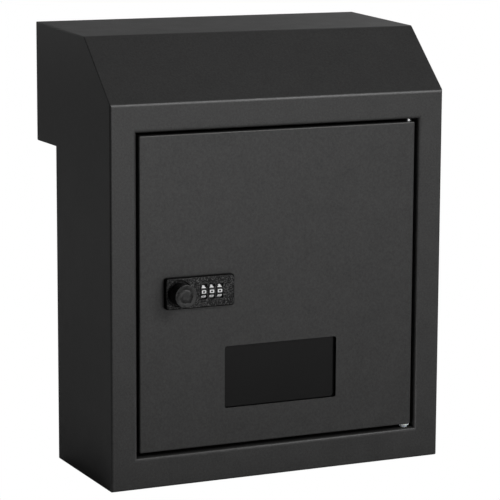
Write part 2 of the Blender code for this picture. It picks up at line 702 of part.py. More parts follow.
def build_lock_fittings():
    """Gasket, barrel nut, dial axle, detent spring, rear cover and its screws."""
    block = around(
        ((CHAMBER_X[0] + CHAMBER_X[1]) / 2, LOCK_Z),
        (CHAMBER_X[1] - CHAMBER_X[0] + 2 * CHAMBER_WALL + 2 * SEAM, 2 * BLOCK_HALF_HEIGHT + 2 * SEAM),
    )
    holes = [circle((KNOB_X, LOCK_Z), BARREL_RADIUS + RUNNING), rounded(*block, 0)]
    gasket = plate(plate_outline(0.5), (PLATE_BACK + REST, DOOR_FACE - REST), "Y", holes)
    add("lock_gasket", gasket, RUBBER, DOOR)

    seat = DOOR_FACE + SHEET + REST
    bore = [circle((KNOB_X, LOCK_Z), BARREL_RADIUS + RUNNING, 32)]
    nut = plate(hexagon((KNOB_X, LOCK_Z), BARREL_NUT_FLATS), (seat, seat + BARREL_NUT_THICK), "Y", bore)
    add("barrel_nut", nut, ZINC, DOOR)

    axle = (CHAMBER_X[0] - 0.7, CHAMBER_X[1] + 0.7)
    add("dial_axle", rod("X", (DIAL_Y, LOCK_Z), AXLE_RADIUS, axle, 20), ZINC, DOOR, smooth=True)

    spring_back = DIAL_Y + DIAL_RADIUS + 0.7
    strip = (LOCK_Z - CHAMBER_HALF_HEIGHT + 0.4, LOCK_Z - 5.4)
    comb = box((CHAMBER_X[0] + SEAM, CHAMBER_X[1] - SEAM), (spring_back - 0.4, spring_back), strip)
    spring = add("dial_detent_spring", comb, ZINC, DOOR)
    for i, x in enumerate(DIAL_XS):
        finger = box((x - 1.6, x + 1.6), (spring_back - 0.4, spring_back), (strip[0] + 1, LOCK_Z - 0.8))
        join(spring, finger, f"detent_finger_{i + 1}")

    cover_y = (CHAMBER_BACK + REST, CHAMBER_BACK + REST + COVER_THICK)
    cover = rounded(
        (CHAMBER_X[0] - CHAMBER_WALL, CHAMBER_X[1] + CHAMBER_WALL),
        (LOCK_Z - BLOCK_HALF_HEIGHT, LOCK_Z + BLOCK_HALF_HEIGHT),
        1.0,
    )
    screws = [("upper", (MIDDLE_DIAL_X, LOCK_Z + 10)), ("lower", (MIDDLE_DIAL_X, LOCK_Z - 10))]
    openings = [circle(place, 1.2, 12) for _, place in screws]
    openings.append(circle((MIDDLE_DIAL_X, LOCK_Z + RESET_RISE), RESET_RADIUS + RUNNING, 20))
    add("lock_rear_cover", plate(cover, cover_y, "Y", openings), LOCK_BLACK, DOOR)
    for label, place in screws:
        head = cover_y[1] + REST
        shank_end = CHAMBER_BACK - 6
        shank = [(0, shank_end), (0.9, shank_end), (0.9, head)]
        profile = shank + [(1.9, head), (1.5, head + 1.2), (0, head + 1.3)]
        add(f"cover_screw_{label}", turned(profile, "Y", place, 16), ZINC, DOOR, smooth=True)


def build_dials():
    for i, (x, axis) in enumerate(zip(DIAL_XS, DIALS)):
        low, high = x - DIAL_WIDTH / 2, x + DIAL_WIDTH / 2
        profile = [
            (AXLE_RADIUS + RUNNING, low),
            (DIAL_RADIUS - 0.4, low),
            (DIAL_RADIUS, low + 0.4),
            (DIAL_RADIUS, high - 0.4),
            (DIAL_RADIUS - 0.4, high),
            (AXLE_RADIUS + RUNNING, high),
        ]
        wheel = turned(profile, "X", (DIAL_Y, LOCK_Z), 30)
        add(f"number_dial_{i + 1}", wheel, DIAL_BLACK, axis, smooth=True)


def build_latch():
    """Knob, spindle, cam, washer and screw, all turning on the knob's axis. The cam hangs down at rest."""
    centre = (KNOB_X, LOCK_Z)
    seat = PLATE_FACE + RECESS_DEPTH - SEAM
    face = seat - KNOB_LENGTH
    bore = SPINDLE_STUB + RUNNING
    profile = [
        (0, face + 0.7),
        (KNOB_RADIUS - 2.2, face + 0.7),
        (KNOB_RADIUS - 1.8, face),
        (KNOB_RADIUS - 0.4, face),
        (KNOB_RADIUS, face + 0.4),
        (KNOB_RADIUS, seat - 1.6),
        (KNOB_RADIUS - 0.8, seat),
        (bore, seat),
        (bore, seat - STUB_LENGTH),
        (0, seat - STUB_LENGTH),
    ]
    add("lock_knob", turned(profile, "Y", centre, 32), LOCK_BLACK, LATCH, smooth=True)

    square_end = CAM_Y + CAM_THICK - 0.3
    spindle = add(
        "lock_spindle",
        turned(
            [
                (0, seat - STUB_LENGTH + SEAM),
                (SPINDLE_STUB, seat - STUB_LENGTH + SEAM),
                (SPINDLE_STUB, seat + REST),
                (SPINDLE_RADIUS, seat + REST),
                (SPINDLE_RADIUS, CAM_Y - REST),
                (3.0, CAM_Y - REST),
                (0, CAM_Y - REST),
            ],
            "Y",
            centre,
        ),
        ZINC,
        LATCH,
        smooth=True,
    )
    square = around(centre, (CAM_SQUARE, CAM_SQUARE))
    join(spindle, box(square[0], (CAM_Y - 3, square_end), square[1]), "cam_square")
    cut(spindle, rod("Y", centre, 1.9, (CAM_Y - 6, square_end + 2), 16), "cam_screw_hole")

    hub = [a for a in circle(centre, CAM_HUB, 32) if a[1] >= LOCK_Z - 5.0]
    hub.sort(key=lambda p: math.atan2(p[1] - LOCK_Z + 5.0, p[0] - KNOB_X))
    tip = LOCK_Z - CAM_LENGTH
    half = CAM_WIDTH / 2
    corner = 3.0
    end = [
        (KNOB_X - half, tip + corner),
        (KNOB_X - half + corner, tip),
        (KNOB_X + half - corner, tip),
        (KNOB_X + half, tip + corner),
    ]
    outline = hub + end
    hole = rounded(*around(centre, (CAM_SQUARE + 2 * RUNNING, CAM_SQUARE + 2 * RUNNING)), 0)
    add("latch_cam", plate(outline, (CAM_Y, CAM_Y + CAM_THICK), "Y", [hole]), ZINC, LATCH)

    washer_y = (CAM_Y + CAM_THICK + REST, CAM_Y + CAM_THICK + REST + 1.0)
    add("cam_washer", washer("Y", centre, 7.0, 1.9, washer_y), ZINC, LATCH, smooth=True)
    head = washer_y[1] + REST
    shank = [(0, CAM_Y - 5), (1.5, CAM_Y - 5), (1.5, head)]
    profile = shank + [(4.0, head), (3.4, head + 1.9), (0, head + 2.2)]
    add("cam_screw", turned(profile, "Y", centre, 20), ZINC, LATCH, smooth=True)


def build_reset_button():
    centre = (MIDDLE_DIAL_X, LOCK_Z + RESET_RISE)
    inner = CHAMBER_BACK - 1.4
    profile = [
        (0, inner),
        (2.3, inner),
        (2.3, inner + 1.0),
        (RESET_RADIUS, inner + 1.0),
        (RESET_RADIUS, CHAMBER_BACK + COVER_THICK + 1.3),
        (RESET_RADIUS - 0.4, CHAMBER_BACK + COVER_THICK + 1.7),
        (0, CHAMBER_BACK + COVER_THICK + 1.7),
    ]
    add("code_reset_button", turned(profile, "Y", centre, 20), ZINC, RESET, smooth=True)


# ---- Rear flap ----
def build_flap():
    """A plate that closes the slot from inside, with its top edge curled round the rod."""
    plate_y = FLAP_BACK - SHEET
    inner = ROD_RADIUS + CURL_GAP
    curl_outer, curl_inner = [], []
    steps = 9
    for step in range(steps + 1):
        angle = math.radians(270 * step / steps)
        spoke = Vector((math.cos(angle), math.sin(angle)))
        centre = Vector((ROD_Y, ROD_HEIGHT))
        curl_outer.append(tuple(centre + spoke * (inner + SHEET)))
        curl_inner.append(tuple(centre + spoke * inner))
    outline = [(plate_y, FLAP_LOW), (FLAP_BACK, FLAP_LOW), *curl_outer, *reversed(curl_inner)]
    flap = add("rear_flap", plate(outline, (-FLAP_X, FLAP_X), "X"), BLACK_COAT, FLAP)
    gap_low = ROD_HEIGHT - 5
    gaps = {
        "spring": (SPRING_X[0] - 2, SPRING_X[1] + 2),
        "right": CURL_GAP_X,
        "left": (-CURL_GAP_X[1], -CURL_GAP_X[0]),
    }
    for label, span in gaps.items():
        gap = box(span, (ROD_Y - 8, FLAP_BACK + 2), (gap_low, ROD_HEIGHT + 8))
        cut(flap, gap, f"curl_gap_{label}")


def build_flap_rod():
    bar = rod("X", (ROD_Y, ROD_HEIGHT), ROD_RADIUS, (-ROD_END, ROD_END), 20)
    add("flap_rod", bar, ZINC, BOX, smooth=True)
    weld_face = REAR - SHEET - REST
    for label, side in (("left", -1), ("right", 1)):
        xs = sorted((side * EAR_X, side * (EAR_X + EAR_THICK)))
        foot = sorted((side * EAR_X, side * (EAR_X + 10)))
        heights = (ROD_HEIGHT - 7, ROD_HEIGHT + 7)
        ear = add(f"flap_bracket_{label}", box(xs, (ROD_Y - 5, weld_face), heights), BLACK_COAT, BOX)
        join(ear, box(foot, (weld_face - EAR_THICK, weld_face), heights), f"bracket_foot_{label}")
        hole = rod("X", (ROD_Y, ROD_HEIGHT), ROD_RADIUS + RUNNING, (xs[0] - 2, xs[1] + 2))
        cut(ear, hole, f"bracket_hole_{label}")
        start = EAR_X + EAR_THICK + REST
        clip = sorted((side * start, side * (start + 1.2)))
        add(
            f"rod_clip_{label}",
            washer("X", (ROD_Y, ROD_HEIGHT), CLIP_RADIUS, ROD_RADIUS + RUNNING, clip, 20),
            ZINC,
            BOX,
            smooth=True,
        )


def build_flap_spring():
    """A torsion spring round the rod: one leg down the flap's front, one back to the rear frame."""
    coil = ROD_RADIUS + 0.4 + WIRE_RADIUS
    steps_a_turn = 14
    leg_y = FLAP_BACK - SHEET - REST - WIRE_RADIUS
    first_angle = -math.acos((leg_y - ROD_Y) / coil)
    last_angle = 2 * math.pi * SPRING_TURNS - math.pi / 2
    steps = round((last_angle - first_angle) / (2 * math.pi) * steps_a_turn)
    low, high = SPRING_X
    path = [Vector((low, leg_y, ROD_HEIGHT - 22)), Vector((low, leg_y, ROD_HEIGHT - 5))]
    for step in range(steps + 1):
        angle = first_angle + (last_angle - first_angle) * step / steps
        x = low + (high - low) * step / steps
        path.append(Vector((x, ROD_Y + coil * math.cos(angle), ROD_HEIGHT + coil * math.sin(angle))))
    path.append(Vector((high, REAR - SHEET - REST - WIRE_RADIUS, ROD_HEIGHT - coil)))
    sides = 6
    loops = []
    for i, point in enumerate(path):
        ahead = (path[min(i + 1, len(path) - 1)] - path[max(i - 1, 0)]).normalized()
        across = Vector((1, 0, 0)) - ahead * ahead.x
        across.normalize()
        up = ahead.cross(across)
        turns = [2 * math.pi * k / sides for k in range(sides)]
        loops.append([point + (across * math.cos(t) + up * math.sin(t)) * WIRE_RADIUS for t in turns])
    add("flap_spring", loft(loops), ZINC, BOX, smooth=True)


build_front_frame()
build_hood()
build_sides()
build_bottom()
build_back()
build_rear_frame()
build_ramp()
build_stops()
build_hinge()
build_door()
build_window()
build_housing()
build_lock_fittings()
build_dials()
build_latch()
build_reset_button()
build_flap()
build_flap_rod()
build_flap_spring()
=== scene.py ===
"""Looks of the through-the-wall parcel drop box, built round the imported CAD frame.

Every length is in metres, in the row's frame: X to the right seen from the front, Y back through the
wall, Z up. Sizes written with MM are millimetres. Heights given from the underside start at BOTTOM.
"""

import json
import math

import bmesh
import bpy
from mathutils import Matrix, Vector

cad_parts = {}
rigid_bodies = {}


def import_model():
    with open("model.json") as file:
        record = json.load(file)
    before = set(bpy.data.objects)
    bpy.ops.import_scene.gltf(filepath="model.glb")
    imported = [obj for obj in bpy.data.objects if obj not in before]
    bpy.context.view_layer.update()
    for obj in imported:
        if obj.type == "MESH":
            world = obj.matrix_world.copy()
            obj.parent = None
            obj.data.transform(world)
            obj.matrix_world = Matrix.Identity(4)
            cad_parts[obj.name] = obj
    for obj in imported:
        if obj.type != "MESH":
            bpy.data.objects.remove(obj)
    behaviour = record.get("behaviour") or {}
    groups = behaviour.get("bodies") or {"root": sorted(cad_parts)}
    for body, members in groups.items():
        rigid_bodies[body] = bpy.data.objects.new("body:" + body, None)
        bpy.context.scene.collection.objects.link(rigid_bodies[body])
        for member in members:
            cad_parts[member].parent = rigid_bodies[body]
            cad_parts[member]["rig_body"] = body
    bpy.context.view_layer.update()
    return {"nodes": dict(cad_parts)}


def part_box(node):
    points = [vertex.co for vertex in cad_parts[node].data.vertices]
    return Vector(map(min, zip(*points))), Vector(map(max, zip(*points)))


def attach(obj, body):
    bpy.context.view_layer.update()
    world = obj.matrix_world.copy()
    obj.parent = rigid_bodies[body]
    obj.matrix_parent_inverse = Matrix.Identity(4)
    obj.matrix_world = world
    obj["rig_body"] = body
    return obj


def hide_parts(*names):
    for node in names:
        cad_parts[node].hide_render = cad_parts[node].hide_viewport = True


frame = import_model()
MM = 0.001
TINY = 1e-6
SCENE = bpy.context.scene

# ---- Body sizes: outer planes come from the CAD, the rest are the sheet-metal details ----
FRAME_MIN, FRAME_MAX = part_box("front_frame")
HOOD_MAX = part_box("hood_cover")[1]
SHEET = 1.2 * MM
HALF = FRAME_MAX.x  # half the body's width
FRONT = FRAME_MIN.y
RETURN_END = FRAME_MAX.y  # where the fold round the door opening ends
BOTTOM = FRAME_MIN.z
TOP = HOOD_MAX.z
REAR = HOOD_MAX.y
CHUTE_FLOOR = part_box("back_panel")[1].z - SHEET  # underside of the chute
RIDGE = BOTTOM + 320 * MM  # fold between the front and the sloped hood
HOOD_RUN = 57 * MM  # how far back the slope reaches
HOOD_BEND = TOP - 4 * MM  # the top falls a little towards the front, to shed rain
OPENING_X = 129.3 * MM  # half the width of the door opening
OPENING_Z = (BOTTOM + 27.2 * MM, BOTTOM + 296.6 * MM)
SLOT_X = 128 * MM  # half the width of the posting slot
SLOT_Z = (BOTTOM + 290 * MM, BOTTOM + 350 * MM)
SLOT_END = REAR - 8 * MM  # where the fold round the slot ends
FOLD = 2.4 * MM  # outer radius of a square fold
OPENING_FOLD = 3.2 * MM  # outer radius of the fold round the door opening
FRONT_FOLD = 1.8 * MM  # outer radius of the front's outer corners
HOOD_FOLD = 3.4 * MM  # outer radius of the hood's two shallow folds
WIDEST_FOLD = 5 * MM  # full weight of the fold bevel
FOLD_SEGMENTS = 6
WELD = 0.7 * MM  # radius of a welded and ground corner
MOUNT_HOLE = 3.5 * MM  # radius of the screw holes in the mounting plate
MOUNT_HOLE_X = (-110 * MM, 110 * MM)
MOUNT_HOLE_Z = (BOTTOM + 40 * MM, BOTTOM + 232 * MM)
MOUNT_HOLE_SPAN = (-6 * MM, 6 * MM)

# ---- Door sizes ----
DOOR_MIN, DOOR_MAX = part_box("door_panel")
DOOR_FOLD = 1.3 * MM  # outer radius of the door's folded edges
DOOR_CUTS = (DOOR_MIN.y - 3 * MM, DOOR_MIN.y + 5 * MM)  # cutters reach through the door's face
WASHER_MIN, WASHER_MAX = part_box("hinge_washer_upper")
HINGE = ((WASHER_MIN.x + WASHER_MAX.x) / 2, (WASHER_MIN.y + WASHER_MAX.y) / 2)
PIN_HOLE = 2.3 * MM  # radius of the hinge pins' holes
PIN_HOLE_REACH = 4 * MM  # how far the holes' cutters reach up and down
DOOR_EDGE = 0.3 * MM  # radius of the paint on the door's cut edges
WINDOW_CENTRE = (1.3 * MM, BOTTOM + 88 * MM)
WINDOW_SIZE = (104 * MM, 53 * MM)
WINDOW_CORNER = 2.2 * MM  # corner radius of the cut-out
PANE_CORNER = 2 * MM  # corner radius of the pane and its foam ring
PANE_EDGE = 0.3 * MM
SPACER_MARGIN = 3 * MM  # the foam ring stands this far back from the cut-out

# ---- Lock sizes ----
PLATE_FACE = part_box("lock_housing")[0].y
PLATE_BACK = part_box("lock_gasket")[0].y - 0.1 * MM
PLATE_CORNER = 2.5 * MM
PLATE_EDGE = 1.2 * MM  # radius of the plate's rounded edge
PLATE_WALL = 1.5 * MM
CASTING_EDGE = 0.12 * MM  # radius of the casting's other edges
KNOB_MIN, KNOB_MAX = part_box("lock_knob")
KNOB_CENTRE = ((KNOB_MIN.x + KNOB_MAX.x) / 2, (KNOB_MIN.z + KNOB_MAX.z) / 2)
KNOB_RADIUS = (KNOB_MAX.x - KNOB_MIN.x) / 2
KNOB_RIM = 0.55 * MM  # radius of the knob's front rim
KNOB_FLUTES = 36
FLUTE_DEPTH = 0.3 * MM
SPINDLE_HOLE = (3.8 * MM, 6 * MM)  # radius and depth of the hole in the knob's back
LOCK_Z = KNOB_CENTRE[1]
RECESS_RADIUS = 10.7 * MM  # round recess that the knob sits in
RECESS_DEPTH = 1.3 * MM
BARREL_RADIUS = 8.5 * MM
BARREL_BORE = 5.3 * MM
THREAD_PITCH = 1.2 * MM
THREAD_DEPTH = 0.45 * MM
COVER_MIN, COVER_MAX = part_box("lock_rear_cover")
BLOCK_X = (COVER_MIN.x, COVER_MAX.x)
BLOCK_Z = (COVER_MIN.z, COVER_MAX.z)
BLOCK_END = COVER_MIN.y - 0.1 * MM
CHAMBER_X = (BLOCK_X[0] + 1.5 * MM, BLOCK_X[1] - 1.5 * MM)
CHAMBER_Z = (LOCK_Z - 8 * MM, LOCK_Z + 8 * MM)
AXLE_NOTCH = 1.8 * MM  # half the width of the notches that hold the dials' axle
COVER_SCREW_HOLE = 1.2 * MM
COVER_SCREW_Z = (LOCK_Z - 10 * MM, LOCK_Z + 10 * MM)

# ---- Dial sizes ----
DIAL_SLOT = (5.9 * MM, 12.4 * MM)
DIAL_SLOT_CORNER = 0.5 * MM
DIAL_BOXES = [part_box(f"number_dial_{i}") for i in (1, 2, 3)]
DIAL_XS = [(low.x + high.x) / 2 for low, high in DIAL_BOXES]
DIAL_RADIUS = (DIAL_BOXES[0][1].z - DIAL_BOXES[0][0].z) / 2
DIAL_AXIS = ((DIAL_BOXES[0][0].y + DIAL_BOXES[0][1].y) / 2, LOCK_Z)
DIAL_BORE = 1.8 * MM
DIGITS = 10
NUMERAL_SIZE = (3.9 * MM, 2.6 * MM)
NUMERAL_STROKE = (0.9 * MM, 0.6 * MM)  # width of upright strokes, height of level ones
NUMERAL_CORNER = 0.22 * MM
PRINT_THICKNESS = 0.1 * MM


# ---- Outlines: lists of (u, v) points ----
def rounded(u, v, radius, steps=6):
    """Points round the rectangle between two (low, high) pairs, anticlockwise, with round corners."""
    points = []
    corners = ((u[1], v[1], 0), (u[0], v[1], 90), (u[0], v[0], 180), (u[1], v[0], 270))
    middle = ((u[0] + u[1]) / 2, (v[0] + v[1]) / 2)
    for corner_u, corner_v, start in corners:
        centre_u = corner_u + math.copysign(radius, middle[0] - corner_u)
        centre_v = corner_v + math.copysign(radius, middle[1] - corner_v)
        for step in range(steps + 1):
            angle = math.radians(start + 90 * step / steps)
            points.append((centre_u + radius * math.cos(angle), centre_v + radius * math.sin(angle)))
    return points


def circle(centre, radius, segments):
    """Points round a circle, anticlockwise."""
    turns = [2 * math.pi * i / segments for i in range(segments)]
    return [(centre[0] + radius * math.cos(a), centre[1] + radius * math.sin(a)) for a in turns]


def around(centre, size):
    """The (low, high) pairs of a rectangle from its centre and size."""
    return tuple((c - s / 2, c + s / 2) for c, s in zip(centre, size))


def grown(pairs, margin):
    """(low, high) pairs, each widened by a margin at both ends."""
    return tuple((low - margin, high + margin) for low, high in pairs)


# ---- Meshes ----
CORNER_STEPS = 8  # steps round the corners that show most
HOLE_SEGMENTS = 32
TO_SPACE = {
    "X": lambda u, v, along: (along, u, v),
    "Y": lambda u, v, along: (u, along, v),
    "Z": lambda u, v, along: (u, v, along),
}


def stacked(layers, axis):
    """A solid through (outline, place along the axis) layers, whose outlines have equally many points."""
    bm = bmesh.new()
    rings = [[bm.verts.new(TO_SPACE[axis](u, v, along)) for u, v in outline] for outline, along in layers]
    bm.faces.new(rings[0])
    bm.faces.new(rings[-1])
    count = len(rings[0])
    for first, second in zip(rings, rings[1:]):
        for i in range(count):
            j = (i + 1) % count
            bm.faces.new((first[i], first[j], second[j], second[i]))
    return bm


def box(x, y, z):
    """A block between three (low, high) pairs."""
    outline = [(x[0], y[0]), (x[1], y[0]), (x[1], y[1]), (x[0], y[1])]
    return stacked([(outline, z[0]), (outline, z[1])], "Z")


def plate(outline, span, axis, holes=()):
    """A flat plate: an outline with holes, extruded over a span along an axis."""
    bm = bmesh.new()
    edges = []
    for points in (outline, *holes):
        ring = [bm.verts.new(TO_SPACE[axis](u, v, span[0])) for u, v in points]
        edges += [bm.edges.new((ring[i - 1], ring[i])) for i in range(len(ring))]
    filled = bmesh.ops.triangle_fill(bm, use_beauty=True, use_dissolve=True, edges=edges)
    faces = [g for g in filled["geom"] if isinstance(g, bmesh.types.BMFace)]
    lifted = bmesh.ops.extrude_face_region(bm, geom=faces)
    moved = [g for g in lifted["geom"] if isinstance(g, bmesh.types.BMVert)]
    bmesh.ops.translate(bm, verts=moved, vec=TO_SPACE[axis](0, 0, span[1] - span[0]))
    return bm


def turned(profile, axis, centre, segments=48):
    """A round solid from (radius, place along the axis) points. One that starts off the axis is a ring."""
    bm = bmesh.new()
    rings = []
    for radius, along in profile:
        if radius <= TINY:
            rings.append([bm.verts.new(TO_SPACE[axis](*centre, along))])
        else:
            points = circle(centre, radius, segments)
            rings.append([bm.verts.new(TO_SPACE[axis](u, v, along)) for u, v in points])
    pairs = list(zip(rings, rings[1:]))
    if profile[0][0] > TINY:
        pairs.append((rings[-1], rings[0]))
    for first, second in pairs:
        for i in range(segments):
            j = (i + 1) % segments
            if len(first) == 1:
                bm.faces.new((first[0], second[j], second[i]))
            elif len(second) == 1:
                bm.faces.new((first[i], first[j], second[0]))
            else:
                bm.faces.new((first[i], first[j], second[j], second[i]))
    return bm


def rod(axis, centre, radius, span, segments=48):
    """A solid cylinder between two places along an axis."""
    profile = [(0, span[0]), (radius, span[0]), (radius, span[1]), (0, span[1])]
    return turned(profile, axis, centre, segments)


# ---- Objects ----
SHARP_EDGE = math.radians(50)


def raw_object(name, bm, recalculate=True):
    """A mesh object from a bmesh, by default with its faces turned outwards."""
    if recalculate:
        bmesh.ops.recalc_face_normals(bm, faces=bm.faces)
    mesh = bpy.data.meshes.new(name)
    bm.to_mesh(mesh)
    bm.free()
    made = bpy.data.objects.new(name, mesh)
    SCENE.collection.objects.link(made)
    return made


def bake_modifiers(target):
    """Replaces the object's mesh with what its modifiers make of it."""
    bpy.context.view_layer.update()
    evaluated = target.evaluated_get(bpy.context.evaluated_depsgraph_get())
    mesh = bpy.data.meshes.new_from_object(evaluated)
    target.modifiers.clear()
    target.data = mesh


def combine(target, shapes, operation="DIFFERENCE"):
    """Cuts meshes out of the object, or joins them to it, for good."""
    helpers = [raw_object("helper", bm) for bm in shapes]
    for helper in helpers:
        modifier = target.modifiers.new("shape", "BOOLEAN")
        modifier.operation = operation
        modifier.solver = "EXACT"
        modifier.object = helper
    bake_modifiers(target)
    for helper in helpers:
        bpy.data.objects.remove(helper)


def soften(target, width):
    """Rounds the sharp edges slightly, as paint, plating or moulding does."""
    bevel = target.modifiers.new("edge_radius", "BEVEL")
    bevel.width = width
    bevel.segments = 2
    bevel.limit_method = "ANGLE"
    bevel.angle_limit = SHARP_EDGE
    bevel.use_clamp_overlap = True


def piece(target, node, look, edge=0.0, sharp=SHARP_EDGE):
    """Finishes an object that stands for a CAD node: shading, material, slot and the body it rides on."""
    target.name = node + "_visual"
    target.data.materials.clear()
    target.data.materials.append(look)
    target.data.shade_smooth()
    target.data.set_sharp_from_angle(angle=sharp)
    if edge:
        soften(target, edge)
    target.modifiers.new("flat_faces", "WEIGHTED_NORMAL").keep_sharp = True
    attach(target, frame["nodes"][node]["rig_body"])
    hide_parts(node)


def show(node, bm, look, edge=0.0, sharp=SHARP_EDGE):
    """Shows a CAD node as a detailed mesh."""
    piece(raw_object(node, bm), node, look, edge, sharp)


# ---- Materials ----
NOISE_BULK = (0.3, 0.7)  # most of a noise's values lie in this range
MIX_FACTOR = 0  # sockets of a Mix node that mixes colours
MIX_FIRST = 6
MIX_SECOND = 7
MIX_COLOUR = 2
SHADER_INPUTS = {
    "colour": "Base Color",
    "roughness": "Roughness",
    "metallic": "Metallic",
    "specular": "Specular IOR Level",
    "subsurface": "Subsurface Weight",
    "normal": "Normal",
}


class Look:
    """A material being built from nodes. Texture scales are in features per metre."""

    def __init__(self, name):
        self.material = bpy.data.materials.new(name)
        self.material.use_nodes = True
        self.tree = self.material.node_tree
        self.shader = self.tree.nodes["Principled BSDF"]
        place = self.tree.nodes.new("ShaderNodeTexCoord")
        self.coordinates = place.outputs["Object"]
        self.normal = place.outputs["Normal"]

    def link(self, value, socket):
        """Feeds an input with another node's output, or sets it to a fixed value."""
        if isinstance(value, bpy.types.NodeSocket):
            self.tree.links.new(value, socket)
        else:
            socket.default_value = value

    def noise(self, scale, detail, roughness=0.5, stretch=None):
        node = self.tree.nodes.new("ShaderNodeTexNoise")
        node.inputs["Scale"].default_value = scale
        node.inputs["Detail"].default_value = detail
        node.inputs["Roughness"].default_value = roughness
        self.tree.links.new(self.stretched(stretch), node.inputs["Vector"])
        return node.outputs["Fac"]

    def cells(self, scale):
        """Distance to the nearest of scattered points: rounded grains."""
        node = self.tree.nodes.new("ShaderNodeTexVoronoi")
        node.inputs["Scale"].default_value = scale
        self.tree.links.new(self.coordinates, node.inputs["Vector"])
        return node.outputs["Distance"]

    def painted_side_shade_mask(self, low, high):
        """Mask for painted shade on the sides: 0 where the surface turns away from the front, 1 where it
        faces it.
        """
        split = self.tree.nodes.new("ShaderNodeSeparateXYZ")
        self.tree.links.new(self.normal, split.inputs["Vector"])
        return self.ranged(self.maths("MULTIPLY", split.outputs["Y"], -1.0), 0.0, 1.0, (low, high))

    def stretched(self, factors):
        """The texture coordinates, scaled along each axis."""
        if factors is None:
            return self.coordinates
        node = self.tree.nodes.new("ShaderNodeMapping")
        node.inputs["Scale"].default_value = factors
        self.tree.links.new(self.coordinates, node.inputs["Vector"])
        return node.outputs["Vector"]

    def ranged(self, value, low, high, source=(0.0, 1.0)):
        """Maps a value from the source range to low..high, held at the ends."""
        node = self.tree.nodes.new("ShaderNodeMapRange")
        self.tree.links.new(value, node.inputs["Value"])
        node.inputs["From Min"].default_value = source[0]
        node.inputs["From Max"].default_value = source[1]
        node.inputs["To Min"].default_value = low
        node.inputs["To Max"].default_value = high
        return node.outputs["Result"]

    def maths(self, operation, first, second):
        node = self.tree.nodes.new("ShaderNodeMath")
        node.operation = operation
        self.link(first, node.inputs[0])
        self.link(second, node.inputs[1])
        return node.outputs["Value"]

    def mixed(self, factor, first, second):
        """A colour between two colours."""
        node = self.tree.nodes.new("ShaderNodeMix")
        node.data_type = "RGBA"
        self.link(factor, node.inputs[MIX_FACTOR])
        self.link(first, node.inputs[MIX_FIRST])
        self.link(second, node.inputs[MIX_SECOND])
        return node.outputs[MIX_COLOUR]

    def bump(self, height, depth, under=None):
        """Bump whose height runs from 0 to 1 over a depth in metres, on top of another bump."""
        node = self.tree.nodes.new("ShaderNodeBump")
        node.inputs["Strength"].default_value = 1.0
        node.inputs["Distance"].default_value = depth
        self.tree.links.new(height, node.inputs["Height"])
        if under is not None:
            self.tree.links.new(under, node.inputs["Normal"])
        return node.outputs["Normal"]

    def finish(self, **inputs):
        """Feeds the shader's inputs and returns the material."""
        for name, value in inputs.items():
            self.link(value, self.shader.inputs[SHADER_INPUTS[name]])
        return self.material


def grey(level, warmth=0.0):
    """A linear grey, slightly towards red where warmth is above 0."""
    return (level * (1 + warmth), level, level * (1 - warmth), 1.0)


def powder_coat():
    """Black sand-texture powder coat: grains of about a millimetre, soft mottling, faint sheet waviness."""
    look = Look("black_powder_coat")
    grain = look.noise(620, detail=3, roughness=0.65)
    sand = look.cells(1400)
    peel = look.noise(150, detail=2)
    mottle = look.noise(48, detail=3)
    cloud = look.noise(9, detail=2)
    coarse = look.ranged(mottle, 0.0, 0.5, NOISE_BULK)
    fine = look.ranged(grain, 0.0, 0.5, NOISE_BULK)
    colour = look.mixed(look.maths("ADD", coarse, fine), grey(0.0115, 0.01), grey(0.0195, 0.01))
    sheen = look.ranged(mottle, 0.41, 0.45, NOISE_BULK)
    roughness = look.maths("ADD", sheen, look.ranged(grain, -0.05, 0.05))
    waves = look.bump(cloud, 0.2 * MM)
    orange_peel = look.bump(peel, 0.03 * MM, waves)
    grains = look.bump(grain, 0.07 * MM, orange_peel)
    pits = look.bump(sand, 0.025 * MM, grains)
    specular = look.ranged(grain, 0.42, 0.58, NOISE_BULK)
    return look.finish(colour=colour, roughness=roughness, specular=specular, normal=pits)


def lock_casting():
    """Black die-casting: a coarse glittering face, with painted shade on the edges and sides, which are
    darker and duller than the face.
    """
    look = Look("black_lock_casting")
    grain = look.noise(760, detail=3, roughness=0.7)
    speck = look.ranged(look.noise(900, detail=2, roughness=0.8), 0.0, 1.0, (0.52, 0.66))
    # face is 1 on the front face and 0 on the edges and sides: there the colour is painted shade, near
    # black.
    face = look.painted_side_shade_mask(0.9, 0.99)
    colour = look.mixed(look.maths("MULTIPLY", speck, face), grey(0.002), grey(0.05))
    sheen = look.ranged(grain, 0.03, 0.34, (0.35, 0.7))
    glitter = look.maths("ADD", sheen, look.maths("MULTIPLY", speck, 0.62))
    # The edges and sides also get a weaker reflection: painted shade.
    specular = look.maths("ADD", look.maths("MULTIPLY", glitter, face), 0.03)
    roughness = look.ranged(grain, 0.34, 0.5, NOISE_BULK)
    normal = look.bump(grain, 0.14 * MM)
    return look.finish(colour=colour, roughness=roughness, specular=specular, normal=normal)


def satin_black():
    """Satin black of the knob: faintly uneven all over, with painted shade on its sides, whose reflection is
    weaker.
    """
    look = Look("satin_black_knob")
    marks = look.noise(420, detail=3, roughness=0.7)
    smudge = look.noise(300, detail=3)
    face = look.painted_side_shade_mask(0.3, 0.9)
    colour = look.mixed(smudge, grey(0.003), grey(0.015))
    sheen = look.ranged(smudge, 0.15, 0.5, NOISE_BULK)
    # The sides get a weaker reflection than the front: painted shade.
    specular = look.maths("ADD", look.maths("MULTIPLY", face, sheen), 0.06)
    roughness = look.ranged(smudge, 0.24, 0.42, NOISE_BULK)
    normal = look.bump(marks, 0.09 * MM)
    return look.finish(colour=colour, roughness=roughness, specular=specular, normal=normal)


def dial_plastic():
    """Black moulded plastic of the dials."""
    look = Look("dial_plastic")
    grain = look.noise(2500, detail=2)
    colour = look.mixed(grain, grey(0.0025), grey(0.006))
    roughness = look.ranged(grain, 0.35, 0.5)
    return look.finish(colour=colour, roughness=roughness, specular=0.25, normal=look.bump(grain, 0.01 * MM))


